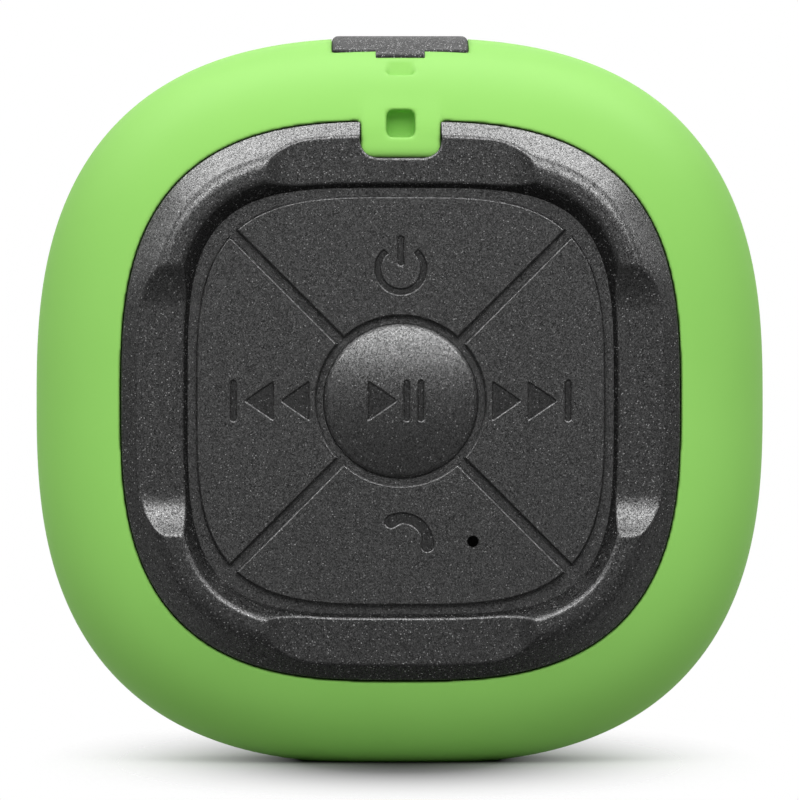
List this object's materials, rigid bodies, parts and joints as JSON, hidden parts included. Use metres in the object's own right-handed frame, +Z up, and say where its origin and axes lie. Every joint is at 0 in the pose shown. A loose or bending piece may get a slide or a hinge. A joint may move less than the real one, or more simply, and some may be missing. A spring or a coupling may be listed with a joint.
{
  "type": "shower speaker",
  "caption": "Rounded-square portable speaker in a soft green sleeve, with a black key panel, a domed centre key, a lanyard eye and a hinged rubber port cover on top.",
  "frame": {"origin": "middle of the flat foot under the sleeve, at the bottom of the bounding box", "axes": "+Z up, front with the keys towards -Y, +X to the right of someone facing the keys"},
  "size_m": [0.092, 0.046, 0.0918],
  "materials": {
    "green_silicone": "smooth satin, lime green",
    "black_panel": "fine spark-eroded grain with a light speckle",
    "dark_rubber": "matt",
    "black_shell": "moulded satin",
    "seal_rubber": "matt",
    "circuit_board": "solder-mask green",
    "plated_steel": "plated",
    "ferrite": "ground dark grey",
    "cone_paper": "pressed black pulp",
    "coil_copper": "enamelled wire",
    "cell_film": "laminated film",
    "black_mesh": "fine woven cloth",
    "grille_steel": "black powder coat"
  },
  "bodies": {
    "speaker": {"acoustic_mesh": "black_mesh", "aux_socket": "black_shell", "battery_cell": "cell_film", "battery_lead": "coil_copper", "board_screw_1": "plated_steel", "board_screw_2": "plated_steel", "board_screw_3": "plated_steel", "board_screw_4": "plated_steel", "call_switch": "black_shell", "control_board": "circuit_board", "driver_basket": "plated_steel", "driver_gasket": "seal_rubber", "driver_magnet": "ferrite", "driver_screw_1": "plated_steel", "driver_screw_2": "plated_steel", "driver_screw_3": "plated_steel", "driver_screw_4": "plated_steel", "driver_spider": "black_mesh", "driver_surround": "dark_rubber", "driver_top_plate": "plated_steel", "driver_yoke": "plated_steel", "front_bezel": "black_panel", "front_housing": "black_shell", "housing_screw_1": "plated_steel", "housing_screw_2": "plated_steel", "housing_screw_3": "plated_steel", "housing_screw_4": "plated_steel", "housing_seal": "seal_rubber", "keypad_mat": "dark_rubber", "mic_boot": "seal_rubber", "microphone": "plated_steel", "next_switch": "black_shell", "play_switch": "black_shell", "port_board": "circuit_board", "port_cover_tether": "dark_rubber", "port_tray": "black_shell", "power_switch": "black_shell", "previous_switch": "black_shell", "radio_module": "plated_steel", "rear_bezel": "black_panel", "rear_grille": "grille_steel", "rear_housing": "black_shell", "silicone_sleeve": "green_silicone", "speaker_lead": "coil_copper", "usb_socket": "plated_steel"},
    "power_button": {"power_key": "black_panel", "power_plunger": "black_shell"},
    "previous_button": {"previous_key": "black_panel", "previous_plunger": "black_shell"},
    "next_button": {"next_key": "black_panel", "next_plunger": "black_shell"},
    "call_button": {"call_key": "black_panel", "call_plunger": "black_shell"},
    "play_button": {"play_key": "black_panel", "play_plunger": "black_shell"},
    "cone_assembly": {"driver_cone": "cone_paper", "dust_cap": "cone_paper", "voice_coil": "coil_copper"},
    "cover": {"port_cover": "dark_rubber"}
  },
  "joints": [
    {"name": "power_press", "type": "slide", "parent": "speaker", "child": "power_button", "axis": [0, 1, 0], "range_m": [0, 0.0005], "stiffness_N_per_m": 1500},
    {"name": "previous_press", "type": "slide", "parent": "speaker", "child": "previous_button", "axis": [0, 1, 0], "range_m": [0, 0.0005], "stiffness_N_per_m": 1500},
    {"name": "next_press", "type": "slide", "parent": "speaker", "child": "next_button", "axis": [0, 1, 0], "range_m": [0, 0.0005], "stiffness_N_per_m": 1500},
    {"name": "call_press", "type": "slide", "parent": "speaker", "child": "call_button", "axis": [0, 1, 0], "range_m": [0, 0.0005], "stiffness_N_per_m": 1500},
    {"name": "play_press", "type": "slide", "parent": "speaker", "child": "play_button", "axis": [0, 1, 0], "range_m": [0, 0.0005], "stiffness_N_per_m": 1500},
    {"name": "cone_travel", "type": "slide", "parent": "speaker", "child": "cone_assembly", "axis": [0, 1, 0], "range_m": [-0.001, 0.001], "stiffness_N_per_m": 1200},
    {"name": "port_cover_hinge", "type": "hinge", "parent": "speaker", "child": "cover", "pos_m": [0, 0.00155, 0.09185], "axis": [-1, 0, 0], "range_deg": [0, 110]}
  ]
}
